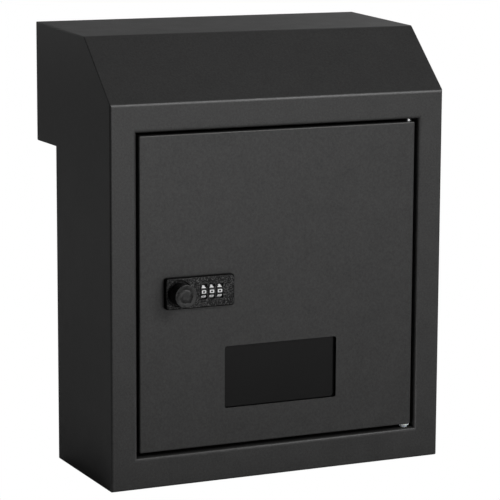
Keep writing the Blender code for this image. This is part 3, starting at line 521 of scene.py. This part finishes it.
def numeral_paint():
    """White pad print, slightly uneven."""
    look = Look("white_numerals")
    wear = look.noise(1800, detail=3)
    colour = look.mixed(look.ranged(wear, 0, 1, (0.35, 0.6)), grey(0.62), grey(0.86))
    return look.finish(colour=colour, roughness=look.ranged(wear, 0.45, 0.6))


def zinc_plate():
    """Bright zinc plating over drawn or stamped steel."""
    look = Look("zinc_plated_steel")
    bloom = look.noise(140, detail=4)
    streak = look.noise(300, detail=2, stretch=(1.0, 6.0, 6.0))
    grain = look.noise(2200, detail=2)
    colour = look.mixed(look.ranged(bloom, 0, 1, (0.35, 0.65)), grey(0.42, -0.015), grey(0.6, -0.01))
    roughness = look.maths("ADD", look.ranged(streak, 0.2, 0.38), look.ranged(bloom, 0.0, 0.1))
    return look.finish(colour=colour, roughness=roughness, metallic=1.0, normal=look.bump(grain, 0.008 * MM))


def smoked_acrylic():
    """Dark smoked sheet: satin gloss, with a faint film of dust."""
    look = Look("smoked_acrylic")
    smear = look.noise(24, detail=2, stretch=(1.0, 1.0, 1.6))
    dust = look.noise(1300, detail=1)
    colour = look.mixed(look.ranged(dust, 0, 1, (0.62, 0.8)), grey(0.0028), grey(0.007))
    roughness = look.ranged(smear, 0.2, 0.24, NOISE_BULK)
    return look.finish(colour=colour, roughness=roughness, specular=0.24)


def nylon():
    """White moulded nylon of the lower hinge bush."""
    look = Look("white_nylon")
    grain = look.noise(900, detail=2)
    colour = look.mixed(grain, grey(0.74, 0.01), grey(0.86, 0.01))
    return look.finish(
        colour=colour,
        roughness=look.ranged(grain, 0.4, 0.55),
        subsurface=0.15,
        normal=look.bump(grain, 0.01 * MM),
    )


def foam_rubber():
    """Matt black foam with open pores."""
    look = Look("black_rubber")
    pores = look.cells(1600)
    colour = look.mixed(pores, grey(0.004), grey(0.016))
    return look.finish(colour=colour, roughness=0.85, normal=look.bump(pores, 0.12 * MM))


COAT = powder_coat()
CASTING = lock_casting()
KNOB_BLACK = satin_black()
DIAL = dial_plastic()
NUMERALS = numeral_paint()
ZINC = zinc_plate()
SMOKED = smoked_acrylic()
NYLON = nylon()
FOAM = foam_rubber()


# ---- Body shell: one folded, welded and coated skin, split into its sheets ----
PROFILE = [
    (FRONT, BOTTOM),
    (0.0, BOTTOM),
    (0.0, CHUTE_FLOOR),
    (REAR, CHUTE_FLOOR),
    (REAR, TOP),
    (FRONT + HOOD_RUN, HOOD_BEND),
    (FRONT, RIDGE),
]
WALLS = [
    "bottom_panel",
    "back_panel",
    "back_panel",
    "rear_slot_frame",
    "hood_cover",
    "hood_cover",
    "front_frame",
]
REAR_WALL = 3
FRONT_WALL = 6
FOLD_OWNERS = ["hood_cover", "front_frame", "back_panel"]  # which sheet wraps round a shared corner
OPENINGS = {
    FRONT_WALL: (OPENING_X, OPENING_Z, RETURN_END),
    REAR_WALL: (SLOT_X, SLOT_Z, SLOT_END),
}


def inset_profile(inset):
    """The profile with every wall moved inwards."""
    count = len(PROFILE)
    walls = []
    for i in range(count):
        start = Vector(PROFILE[i])
        end = Vector(PROFILE[(i + 1) % count])
        along = (end - start).normalized()
        walls.append((start + Vector((-along.y, along.x)) * inset, along))
    points = []
    for i in range(count):
        here, ahead = walls[i]
        before, behind = walls[i - 1]
        share = (here - before).cross(ahead) / behind.cross(ahead)
        points.append(tuple(before + behind * share))
    return points


def body_skin(inset):
    """The body's surface with both openings and their folded edges, moved into the sheet by inset."""
    bm = bmesh.new()
    profile = inset_profile(inset)
    ends = {side: [bm.verts.new((side * (HALF - inset), y, z)) for y, z in profile] for side in (-1, 1)}
    bm.faces.new(ends[-1])
    bm.faces.new(ends[1])
    count = len(profile)
    for i in range(count):
        j = (i + 1) % count
        outer = [ends[-1][i], ends[1][i], ends[1][j], ends[-1][j]]
        if i not in OPENINGS:
            bm.faces.new(outer)
            continue
        half, heights, end = OPENINGS[i]
        half += inset
        low = heights[0] - inset
        high = heights[1] + inset
        if profile[i][1] > profile[j][1]:
            low, high = high, low
        corners = [(-half, low), (half, low), (half, high), (-half, high)]
        edge = [bm.verts.new((x, profile[i][0], z)) for x, z in corners]
        lip = [bm.verts.new((x, end, z)) for x, z in corners]
        for k in range(4):
            m = (k + 1) % 4
            bm.faces.new((outer[k], outer[m], edge[m], edge[k]))
            bm.faces.new((edge[k], edge[m], lip[m], lip[k]))
    bmesh.ops.recalc_face_normals(bm, faces=bm.faces)
    if min(bm.faces, key=lambda f: f.calc_center_median().z).normal.z > 0:
        bmesh.ops.reverse_faces(bm, faces=bm.faces)
    bm.normal_update()
    return bm


def body_fold(edge):
    """Outer radius of one of the body's corners."""
    first, second = (vert.co for vert in edge.verts)
    middle = (first + second) / 2
    if abs(middle.x) > HALF - TINY:
        return FRONT_FOLD if abs(middle.y - FRONT) < TINY else WELD
    if min(abs(middle.z - HOOD_BEND), abs(middle.z - RIDGE)) < TINY:
        return HOOD_FOLD
    if abs(middle.z - TOP) < TINY:
        return WELD
    if abs(middle.y - FRONT) < TINY and BOTTOM + TINY < middle.z < RIDGE - TINY:
        return OPENING_FOLD
    return FOLD


def rolled(bm, radii):
    """The surface with its outer corners rounded, edge by edge."""
    weights = bm.edges.layers.float.new("bevel_weight_edge")
    least = 0.1 * MM
    for edge, radius in zip(bm.edges, radii):
        if radius:
            edge[weights] = max(radius, least) * math.tan(edge.calc_face_angle() / 2) / WIDEST_FOLD
    target = raw_object("rolled", bm, recalculate=False)
    bevel = target.modifiers.new("folds", "BEVEL")
    bevel.width = WIDEST_FOLD
    bevel.segments = FOLD_SEGMENTS
    bevel.limit_method = "WEIGHT"
    bevel.use_clamp_overlap = False
    bake_modifiers(target)
    surface = bmesh.new()
    surface.from_mesh(target.data)
    bpy.data.objects.remove(target)
    surface.normal_update()
    return surface


def both_sides(skin, fold):
    """The sheet's outer and inner surfaces, which match face by face. fold gives an edge's outer radius."""
    outer = skin(0.0)
    inner = skin(SHEET)
    least_turn = math.radians(20)
    outer_radii = []
    for edge in outer.edges:
        bent = len(edge.link_faces) == 2 and edge.is_convex and edge.calc_face_angle() > least_turn
        outer_radii.append(fold(edge) if bent else 0.0)
    inner_radii = [radius and max(radius - SHEET, TINY) for radius in outer_radii]
    return rolled(outer, outer_radii), rolled(inner, inner_radii)


def sheet_object(name, outer, inner, kept):
    """A closed sheet between matching faces of its two surfaces."""
    bm = bmesh.new()
    fronts = {}
    backs = {}

    def corner(made, source, index):
        if index not in made:
            made[index] = bm.verts.new(source.verts[index].co)
        return made[index]

    for surface in (outer, inner):
        surface.verts.ensure_lookup_table()
        surface.faces.ensure_lookup_table()
    sides = set()
    for i in kept:
        ring = [vert.index for vert in outer.faces[i].verts]
        bm.faces.new([corner(fronts, outer, k) for k in ring])
        bm.faces.new([corner(backs, inner, k) for k in reversed(ring)])
        sides.update(zip(ring, ring[1:] + ring[:1]))
    for first, second in sorted(sides):
        if (second, first) not in sides:
            bm.faces.new((fronts[second], fronts[first], backs[first], backs[second]))
    return raw_object(name, bm, recalculate=False)


def distance_to_wall(y, z, i):
    """Distance in the Y-Z plane from a point to one wall of the profile."""
    start = Vector(PROFILE[i])
    along = Vector(PROFILE[(i + 1) % len(PROFILE)]) - start
    share = max(0.0, min(1.0, (Vector((y, z)) - start).dot(along) / along.length_squared))
    return (Vector((y, z)) - start - along * share).length


def sheet_of(face):
    """The name of the sheet that a face of the skin belongs to."""
    x, y, z = face.calc_center_median()
    if abs(abs(x) - HALF) < TINY:
        return "right_side_panel" if x > 0 else "left_side_panel"
    near = {WALLS[i] for i in range(len(WALLS)) if distance_to_wall(y, z, i) < FOLD}
    if not near:
        return "front_frame" if y < 0 else "rear_slot_frame"
    for owner in FOLD_OWNERS:
        if owner in near:
            return owner
    return min(near)


def pin_hole(z):
    """Cutter for a hinge pin's hole through the fold at a height."""
    return rod("Z", HINGE, PIN_HOLE, (z - PIN_HOLE_REACH, z + PIN_HOLE_REACH), HOLE_SEGMENTS)


def build_body():
    """The body's seven sheets, with the hinge pins' holes and the holes for the mounting screws."""
    outer, inner = both_sides(body_skin, body_fold)
    owners = [sheet_of(face) for face in outer.faces]
    mount_holes = [
        rod("Y", (x, z), MOUNT_HOLE, MOUNT_HOLE_SPAN, HOLE_SEGMENTS)
        for x in MOUNT_HOLE_X
        for z in MOUNT_HOLE_Z
    ]
    holes = {"back_panel": mount_holes, "front_frame": [pin_hole(z) for z in OPENING_Z]}
    for node in dict.fromkeys(owners):
        kept = [i for i, owner in enumerate(owners) if owner == node]
        target = sheet_object(node, outer, inner, kept)
        if node in holes:
            combine(target, holes[node])
        piece(target, node, COAT)
    outer.free()
    inner.free()


# ---- Door ----
def door_skin(inset):
    """The door's surface: its face and four folded edges, open at the back."""
    bm = bmesh.new()
    x = (DOOR_MIN.x + inset, DOOR_MAX.x - inset)
    z = (DOOR_MIN.z + inset, DOOR_MAX.z - inset)
    corners = [(x[0], z[0]), (x[1], z[0]), (x[1], z[1]), (x[0], z[1])]
    face = [bm.verts.new((u, DOOR_MIN.y + inset, v)) for u, v in corners]
    back = [bm.verts.new((u, DOOR_MAX.y, v)) for u, v in corners]
    bm.faces.new(face)
    for i in range(4):
        j = (i + 1) % 4
        bm.faces.new((face[j], face[i], back[i], back[j]))
    bm.normal_update()
    if bm.faces[:][0].normal.y > 0:
        bmesh.ops.reverse_faces(bm, faces=bm.faces)
        bm.normal_update()
    return bm


def build_door():
    """The folded door, with its window, holes for the lock's barrel and block, and the pins' holes."""
    outer, inner = both_sides(door_skin, lambda edge: DOOR_FOLD)
    target = sheet_object("door_panel", outer, inner, range(len(outer.faces)))
    outer.free()
    inner.free()
    play = 0.3 * MM
    window = rounded(*around(WINDOW_CENTRE, WINDOW_SIZE), WINDOW_CORNER, CORNER_STEPS)
    block_x, block_z = grown((BLOCK_X, BLOCK_Z), play)
    combine(target, [
        plate(window, DOOR_CUTS, "Y"),
        rod("Y", KNOB_CENTRE, BARREL_RADIUS + play, DOOR_CUTS),
        box(block_x, DOOR_CUTS, block_z),
        pin_hole(DOOR_MIN.z),
        pin_hole(DOOR_MAX.z),
    ])
    piece(target, "door_panel", COAT, DOOR_EDGE)


def build_window():
    """The smoked pane, and the foam ring between it and the door."""
    low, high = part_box("window_pane")
    outline = rounded((low.x, high.x), (low.z, high.z), PANE_CORNER)
    show("window_pane", plate(outline, (low.y, high.y), "Y"), SMOKED, PANE_EDGE)
    low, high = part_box("window_spacer")
    outline = rounded((low.x, high.x), (low.z, high.z), PANE_CORNER)
    hole = rounded(*grown(around(WINDOW_CENTRE, WINDOW_SIZE), SPACER_MARGIN), PANE_CORNER)
    show("window_spacer", plate(outline, (low.y, high.y), "Y", [hole]), FOAM)


# ---- Lock ----
def thread(radius, span, pitch, depth):
    """Profile points of a screw thread as rings, with flat crests and flat roots."""
    turns = round((span[1] - span[0]) / pitch)
    step = (span[1] - span[0]) / turns
    points = []
    for i in range(turns):
        start = span[0] + i * step
        points += [(radius, start + step * 0.15), (radius, start + step * 0.35)]
        points += [(radius - depth, start + step * 0.65), (radius - depth, start + step * 0.85)]
    return points


def lock_plate(low, high):
    """The front plate: a rounded rectangle with a rounded front edge."""
    u = (low.x, high.x)
    v = (low.z, high.z)
    layers = []
    steps = 4
    for step in range(steps + 1):
        angle = math.radians(90 * step / steps)
        inset = PLATE_EDGE * (1 - math.sin(angle))
        outline = rounded(*grown((u, v), -inset), PLATE_CORNER - inset, CORNER_STEPS)
        layers.append((outline, PLATE_FACE + PLATE_EDGE * (1 - math.cos(angle))))
    layers.append((rounded(u, v, PLATE_CORNER, CORNER_STEPS), PLATE_BACK))
    return stacked(layers, "Y")


def lock_barrel(start, end):
    """The threaded barrel behind the plate."""
    profile = [(0, start), (BARREL_RADIUS, start)]
    profile += thread(BARREL_RADIUS, (PLATE_BACK + 1.5 * MM, end), THREAD_PITCH, THREAD_DEPTH)
    profile += [(BARREL_RADIUS - 0.6 * MM, end), (0, end)]
    return turned(profile, "Y", KNOB_CENTRE)


def knob_recess(outside):
    """Cutter for the recess that the knob sits in, with a small chamfer at its edge."""
    profile = [
        (0, outside),
        (RECESS_RADIUS + 0.5 * MM, outside),
        (RECESS_RADIUS + 0.5 * MM, PLATE_FACE - TINY),
        (RECESS_RADIUS, PLATE_FACE + 0.4 * MM),
        (RECESS_RADIUS - 0.2 * MM, PLATE_FACE + RECESS_DEPTH),
        (0, PLATE_FACE + RECESS_DEPTH),
    ]
    return turned(profile, "Y", KNOB_CENTRE, 64)


def dial_cuts(outside):
    """Cutters for the dials' chamber, their axle's notches, the slots in the plate and the screw holes."""
    past_end = BLOCK_END + 2 * MM
    cuts = [
        box(CHAMBER_X, (PLATE_FACE + PLATE_WALL, past_end), CHAMBER_Z),
        box(
            grown([CHAMBER_X], 1 * MM)[0],
            (DIAL_AXIS[0] - AXLE_NOTCH, past_end),
            (LOCK_Z - AXLE_NOTCH, LOCK_Z + AXLE_NOTCH),
        ),
    ]
    for x in DIAL_XS:
        slot = rounded(*around((x, LOCK_Z), DIAL_SLOT), DIAL_SLOT_CORNER, 3)
        cuts.append(plate(slot, (outside, PLATE_FACE + PLATE_WALL + 1 * MM), "Y"))
    for z in COVER_SCREW_Z:
        cuts.append(rod("Y", (DIAL_XS[1], z), COVER_SCREW_HOLE, (BLOCK_END - 7 * MM, past_end), 16))
    return cuts


def build_housing():
    """The front plate, the dial block and the threaded barrel, cast as one."""
    low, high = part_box("lock_housing")
    inside = PLATE_BACK - 1 * MM
    outside = PLATE_FACE - 2 * MM
    target = raw_object("lock_housing", lock_plate(low, high))
    combine(target, [box(BLOCK_X, (inside, BLOCK_END), BLOCK_Z)], "UNION")
    combine(target, dial_cuts(outside))
    combine(target, [lock_barrel(inside, high.y)], "UNION")
    bore = rod("Y", KNOB_CENTRE, BARREL_BORE, (outside, high.y + 2 * MM))
    combine(target, [knob_recess(outside), bore])
    piece(target, "lock_housing", CASTING, CASTING_EDGE, math.radians(30))


def knob_profile(grip):
    """Section of the knob: dished face with a fine ring, crisp rim, grip, skirt and spindle hole."""
    face = KNOB_MIN.y
    seat = KNOB_MAX.y
    hole, depth = SPINDLE_HOLE
    profile = [
        (0, face + 0.45 * MM),
        (0.3 * KNOB_RADIUS, face + 0.42 * MM),
        (0.54 * KNOB_RADIUS, face + 0.4 * MM),
        (0.57 * KNOB_RADIUS, face + 0.6 * MM),
        (0.61 * KNOB_RADIUS, face + 0.6 * MM),
        (0.64 * KNOB_RADIUS, face + 0.3 * MM),
        (0.8 * KNOB_RADIUS, face + 0.12 * MM),
    ]
    steps = 6
    for step in range(steps + 1):
        angle = math.radians(90 * step / steps)
        out = KNOB_RADIUS - KNOB_RIM * (1 - math.sin(angle))
        profile.append((out, face + KNOB_RIM * (1 - math.cos(angle))))
    return profile + [
        (KNOB_RADIUS, grip[0]),
        (KNOB_RADIUS, grip[0] + 0.3 * MM),
        (KNOB_RADIUS, grip[1] - 0.3 * MM),
        (KNOB_RADIUS, grip[1]),
        (KNOB_RADIUS - 0.1 * MM, seat - 1.6 * MM),
        (KNOB_RADIUS - 0.3 * MM, seat - 0.7 * MM),
        (KNOB_RADIUS - 0.9 * MM, seat),
        (hole, seat),
        (hole, seat - depth),
        (0, seat - depth),
    ]


def build_knob():
    """The turned knob, with flutes pressed into its grip."""
    grip = (KNOB_MIN.y + 1.4 * MM, KNOB_MAX.y - 2.4 * MM)
    knob = turned(knob_profile(grip), "Y", KNOB_CENTRE, KNOB_FLUTES * 4)
    for vert in knob.verts:
        out = Vector((vert.co.x - KNOB_CENTRE[0], 0, vert.co.z - KNOB_CENTRE[1]))
        if grip[0] + TINY < vert.co.y < grip[1] - TINY and out.length > 0.95 * KNOB_RADIUS:
            turn = math.atan2(out.z, out.x)
            vert.co -= out.normalized() * FLUTE_DEPTH * (0.5 - 0.5 * math.cos(KNOB_FLUTES * turn))
    show("lock_knob", knob, KNOB_BLACK, sharp=math.radians(40))


# Block numerals 0 to 9, row by row: # is a stroke and . is a gap.
GLYPHS = (
    "### #.# #.# #.# ###",
    ".#. .#. .#. .#. ###",
    "### ..# ### #.. ###",
    "### ..# ### ..# ###",
    "#.# #.# ### ..# ..#",
    "### #.. ### ..# ###",
    "### #.. ### #.# ###",
    "### ..# ..# ..# ..#",
    "### #.# ### #.# ###",
    "### #.# ### ..# ###",
)


def strips(size, stroke, count):
    """Edges of rows or columns that are strokes and gaps in turn."""
    gap = (size - stroke * (count + 1) / 2) / ((count - 1) / 2)
    edges = [-size / 2]
    for i in range(count):
        edges.append(edges[-1] + (gap if i % 2 else stroke))
    return edges


def numeral(digit):
    """A block numeral in the X-Y plane, centred on the origin, with rounded corners, thickened along Z."""
    columns = strips(NUMERAL_SIZE[0], NUMERAL_STROKE[0], 3)
    rows = strips(NUMERAL_SIZE[1], NUMERAL_STROKE[1], 5)
    bm = bmesh.new()
    corners = {}
    for row, line in enumerate(GLYPHS[digit].split()):
        for column, mark in enumerate(line):
            if mark == "#":
                ring = [(column, row), (column, row + 1), (column + 1, row + 1), (column + 1, row)]
                for key in ring:
                    if key not in corners:
                        corners[key] = bm.verts.new((columns[key[0]], -rows[key[1]], -0.5))
                bm.faces.new([corners[key] for key in ring])
    lifted = bmesh.ops.extrude_face_region(bm, geom=bm.faces[:])
    moved = [g for g in lifted["geom"] if isinstance(g, bmesh.types.BMVert)]
    bmesh.ops.translate(bm, verts=moved, vec=(0, 0, 1))
    bmesh.ops.recalc_face_normals(bm, faces=bm.faces)
    bm.normal_update()
    upright = [e for e in bm.edges if abs(e.verts[0].co.z - e.verts[1].co.z) > 0.5]
    turns = [e for e in upright if e.calc_face_angle() > 1]
    bmesh.ops.bevel(bm, geom=turns, offset=NUMERAL_CORNER, segments=3, affect="EDGES", clamp_overlap=True)
    return bm


def ring_of_numerals(x):
    """The numerals 0 to 9 wrapped round a dial at a place along the axle. 0 faces the front."""
    numbers = bmesh.new()
    for digit in range(DIGITS):
        flat = numeral(digit)
        for vert in flat.verts:
            turn = (vert.co.y / DIAL_RADIUS) + math.radians(360 / DIGITS * digit)
            reach = DIAL_RADIUS + vert.co.z * PRINT_THICKNESS
            vert.co = Vector((
                x + vert.co.x,
                DIAL_AXIS[0] - reach * math.cos(turn),
                LOCK_Z + reach * math.sin(turn),
            ))
        mesh = bpy.data.meshes.new("numeral")
        flat.to_mesh(mesh)
        flat.free()
        numbers.from_mesh(mesh)
        bpy.data.meshes.remove(mesh)
    return numbers


def dial_ring(low, high):
    """A dial between two places along the axle, with rounded rims."""
    return turned([
        (DIAL_BORE, low),
        (DIAL_RADIUS - 0.4 * MM, low),
        (DIAL_RADIUS - 0.1 * MM, low + 0.12 * MM),
        (DIAL_RADIUS, low + 0.4 * MM),
        (DIAL_RADIUS, high - 0.4 * MM),
        (DIAL_RADIUS - 0.1 * MM, high - 0.12 * MM),
        (DIAL_RADIUS - 0.4 * MM, high),
        (DIAL_BORE, high),
    ], "X", DIAL_AXIS, 80)


def build_dials():
    """The three dials, and the numbers printed round them."""
    for i, x in enumerate(DIAL_XS, 1):
        low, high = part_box(f"number_dial_{i}")
        show(f"number_dial_{i}", dial_ring(low.x, high.x), DIAL)
        target = raw_object(f"dial_{i}_numerals", ring_of_numerals(x))
        target.data.materials.append(NUMERALS)
        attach(target, f"dial_{i}")


# ---- Pieces whose CAD shape is shown. Those not listed are zinc plated ----
CAD_LOOKS = {
    "mail_ramp": COAT,
    "flap_bracket_left": COAT,
    "flap_bracket_right": COAT,
    "rear_flap": COAT,
    "door_stop_upper": COAT,
    "door_stop_lower": COAT,
    "window_retainer": COAT,
    "lock_rear_cover": CASTING,
    "lock_gasket": FOAM,
    "hinge_bush_lower": NYLON,
}
WIDEST_CAD_EDGE = 0.25 * MM


def finish_cad_nodes():
    """Every CAD node still shown gets its material, softened edges and clean shading."""
    for node, shown in frame["nodes"].items():
        if shown.hide_render:
            continue
        look = CAD_LOOKS.get(node, ZINC)
        shown.data.materials.clear()
        shown.data.materials.append(look)
        shown.modifiers.new("joined_corners", "WELD").merge_threshold = TINY
        low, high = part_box(node)
        soften(shown, min(WIDEST_CAD_EDGE, min(high - low) * 0.12))
        shown.modifiers.new("flat_faces", "WEIGHTED_NORMAL").keep_sharp = True


# ---- Stage ----
def floor_material():
    """Seamless white: plain white to the camera, softer grey in the object's own reflections."""
    look = Look("studio_white")
    tree = look.tree
    tree.nodes.remove(look.shader)
    output = tree.nodes["Material Output"]
    shade = look.noise(0.8, detail=2)
    to_camera = tree.nodes.new("ShaderNodeEmission")
    to_camera.inputs["Color"].default_value = grey(1.0)
    to_object = tree.nodes.new("ShaderNodeBsdfDiffuse")
    look.link(look.mixed(shade, grey(0.66), grey(0.72)), to_object.inputs["Color"])
    path = tree.nodes.new("ShaderNodeLightPath")
    mix = tree.nodes.new("ShaderNodeMixShader")
    tree.links.new(path.outputs["Is Camera Ray"], mix.inputs["Fac"])
    tree.links.new(to_object.outputs["BSDF"], mix.inputs[1])
    tree.links.new(to_camera.outputs["Emission"], mix.inputs[2])
    tree.links.new(mix.outputs["Shader"], output.inputs["Surface"])
    return look.material


def build_floor():
    """A wide floor just under the object."""
    half = 4.0
    gap = 0.4 * MM
    thickness = 20 * MM
    slab = box((-half, half), (-half, half), (BOTTOM - thickness, BOTTOM - gap))
    floor = raw_object("studio_floor", slab)
    floor.data.materials.append(floor_material())


def build_world(level):
    """A dim surround for the object, which the camera sees as white."""
    world = bpy.data.worlds.new("studio")
    SCENE.world = world
    world.use_nodes = True
    tree = world.node_tree
    background = tree.nodes["Background"]
    path = tree.nodes.new("ShaderNodeLightPath")
    mix = tree.nodes.new("ShaderNodeMix")
    mix.data_type = "RGBA"
    mix.inputs[MIX_FIRST].default_value = grey(level)
    mix.inputs[MIX_SECOND].default_value = grey(1.0)
    tree.links.new(path.outputs["Is Camera Ray"], mix.inputs[MIX_FACTOR])
    tree.links.new(mix.outputs[MIX_COLOUR], background.inputs["Color"])


WORLD_LEVEL = 0.015
LIGHT_AIM = Vector((0, -50 * MM, 50 * MM))
BOX_DISTANCE = 2.2
CARD_DISTANCE = 1.4
SOFT_BOXES = (  # name, azimuth, elevation, width, height, radiance
    ("key_softbox", 18, 34, 0.45, 0.45, 13.0),
    ("front_right_high_softbox", 30, 30, 0.6, 0.5, 19.5),
    ("front_right_softbox", 30, 12, 1.1, 0.6, 2.2),
    ("right_softbox", 90, 25, 1.1, 0.8, 2.5),
    ("right_top_softbox", 90, 72, 1.1, 0.9, 0.6),
    ("rear_right_high_softbox", 130, 35, 1.1, 0.8, 1.2),
    ("rear_right_softbox", 150, 12, 1.1, 0.6, 0.4),
    ("rear_high_softbox", 180, 45, 1.1, 0.8, 1.0),
    ("rear_left_softbox", -150, 12, 1.1, 0.6, 1.1),
)


def soft_light(name, azimuth, elevation, width, height, radiance, distance=BOX_DISTANCE):
    """A soft box that faces the object. Azimuth 0 is straight in front, positive to its right."""
    turn = math.radians(azimuth)
    rise = math.radians(elevation)
    outward = Vector((math.sin(turn) * math.cos(rise), -math.cos(turn) * math.cos(rise), math.sin(rise)))
    data = bpy.data.lights.new(name, "AREA")
    data.shape = "RECTANGLE"
    data.size = width
    data.size_y = height
    data.energy = radiance * math.pi * width * height
    light = bpy.data.objects.new(name, data)
    light.location = LIGHT_AIM + outward * distance
    light.rotation_euler = outward.to_track_quat("Z", "Y").to_euler()
    light.visible_camera = False
    SCENE.collection.objects.link(light)


def build_lights():
    """Soft boxes round the object, and a low card close in front of it."""
    for light in SOFT_BOXES:
        soft_light(*light)
    soft_light("front_low_card", 0, -2, 0.8, 0.24, 3.2, CARD_DISTANCE)


CAMERA_YAW = math.radians(25.067)
CAMERA_PITCH = math.radians(9.898)
CAMERA_ROLL = math.radians(-0.261)
CAMERA_PLACE = (-0.8669, -1.9170, 0.4038)
CAMERA_LENS = 174.36
CAMERA_SENSOR = 36.0


def build_camera():
    """The camera in front of the object's left side and a little above it, looking down."""
    data = bpy.data.cameras.new("photo_view")
    data.sensor_width = CAMERA_SENSOR
    data.lens = CAMERA_LENS
    data.clip_end = 50
    camera = bpy.data.objects.new("photo_view", data)
    forward = Vector((
        math.sin(CAMERA_YAW) * math.cos(CAMERA_PITCH),
        math.cos(CAMERA_YAW) * math.cos(CAMERA_PITCH),
        -math.sin(CAMERA_PITCH),
    ))
    right = Vector((math.cos(CAMERA_YAW), -math.sin(CAMERA_YAW), 0))
    up = right.cross(forward)
    tilted_right = right * math.cos(CAMERA_ROLL) - up * math.sin(CAMERA_ROLL)
    tilted_up = up * math.cos(CAMERA_ROLL) + right * math.sin(CAMERA_ROLL)
    turn = Matrix((tilted_right, tilted_up, -forward)).transposed().to_4x4()
    camera.matrix_world = Matrix.Translation(CAMERA_PLACE) @ turn
    SCENE.collection.objects.link(camera)
    SCENE.camera = camera


build_body()
build_door()
build_window()
build_housing()
build_knob()
build_dials()
finish_cad_nodes()
build_floor()
build_world(WORLD_LEVEL)
build_lights()
build_camera()
SCENE.view_settings.view_transform = "Standard"
